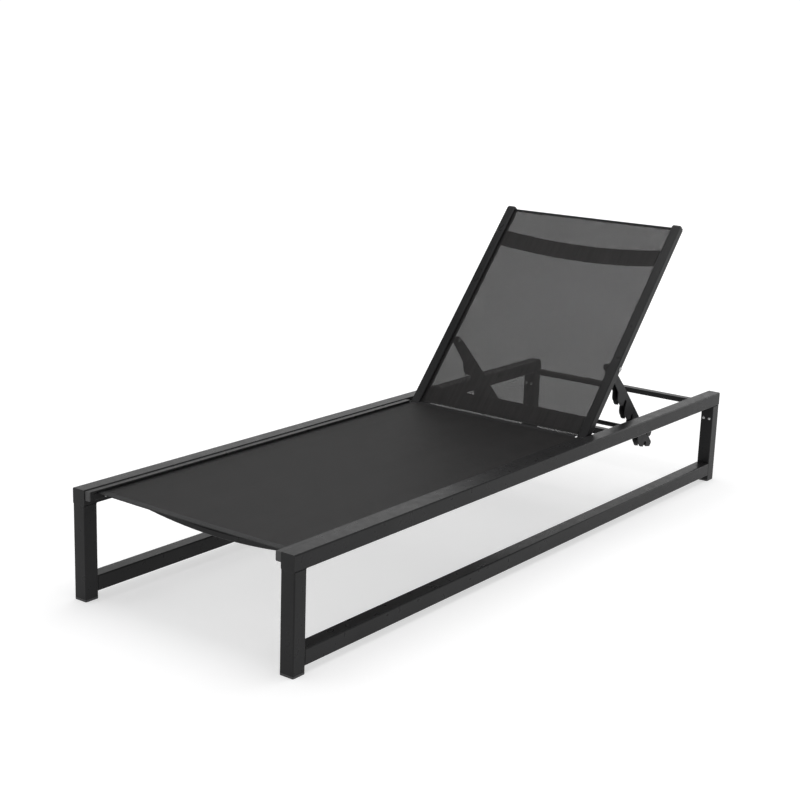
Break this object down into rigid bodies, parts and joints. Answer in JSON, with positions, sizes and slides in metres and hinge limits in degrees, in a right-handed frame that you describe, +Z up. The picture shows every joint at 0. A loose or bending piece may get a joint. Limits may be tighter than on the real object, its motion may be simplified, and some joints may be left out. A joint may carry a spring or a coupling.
{
  "type": "reclining sun lounger",
  "caption": "Sun lounger with tubular side frames, a taut mesh sling seat and a hinged mesh backrest held by notched struts on a cross rod.",
  "frame": {"origin": "middle of the footprint, on the floor", "axes": "+Z up, +Y from the foot end to the head end, +X across the lounger towards its right-hand side rail"},
  "size_m": [0.67, 1.93, 0.7885],
  "materials": {
    "frame": "fine matte powder coat, charcoal black",
    "strut": "matte powder coat, black",
    "plastic": "moulded black plastic",
    "keder": "extruded black plastic cord",
    "steel": "plain zinc-plated steel",
    "sling": "woven coated mesh, charcoal"
  },
  "bodies": {
    "base": {"rail_r": "frame", "rail_l": "frame", "stub_rf": "frame", "stub_rh": "frame", "stub_lf": "frame", "stub_lh": "frame", "leg_rf": "frame", "leg_rh": "frame", "leg_lf": "frame", "leg_lh": "frame", "stretcher_r": "frame", "stretcher_l": "frame", "plug_rf": "plastic", "plug_rh": "plastic", "plug_lf": "plastic", "plug_lh": "plastic", "leg_spigots": "steel", "leg_screws": "steel", "track_r": "frame", "track_l": "frame", "track_caps": "plastic", "track_screws": "steel", "seat_keders": "keder", "seat_sling": "sling", "seat_bar_foot": "frame", "seat_bar_mid": "frame", "cross_bar_rear": "frame", "head_bar": "frame", "rest_rod": "frame", "rod_brackets": "frame", "bracket_screws": "steel", "hinge_bolts": "steel", "hinge_nuts": "steel", "hinge_bushes": "plastic"},
    "backrest": {"stile_r": "frame", "stile_l": "frame", "stile_caps_top": "plastic", "stile_caps_foot": "plastic", "back_bar_top": "frame", "back_bar_low": "frame", "back_keders": "keder", "back_sling": "sling", "strut_pivots": "steel", "strut_washers": "plastic"},
    "strut_right": {"strut_r": "strut"},
    "strut_left": {"strut_l": "strut"}
  },
  "joints": [
    {"name": "backrest_recline", "type": "hinge", "parent": "base", "child": "backrest", "pos_m": [0, 0.2581, 0.251], "axis": [1, 0, 0], "range_deg": [-44, 0]},
    {"name": "strut_right_swing", "type": "hinge", "parent": "backrest", "child": "strut_right", "pos_m": [0, 0.4169, 0.42301], "axis": [1, 0, 0], "range_deg": [0, 90.3]},
    {"name": "strut_left_swing", "type": "hinge", "parent": "backrest", "child": "strut_left", "pos_m": [0, 0.4169, 0.42301], "axis": [1, 0, 0], "range_deg": [0, 90.3]}
  ],
  "couplings": [
    {"joint": "strut_right_swing", "follows": "backrest_recline", "ratio": -2.05},
    {"joint": "strut_left_swing", "follows": "backrest_recline", "ratio": -2.05}
  ]
}
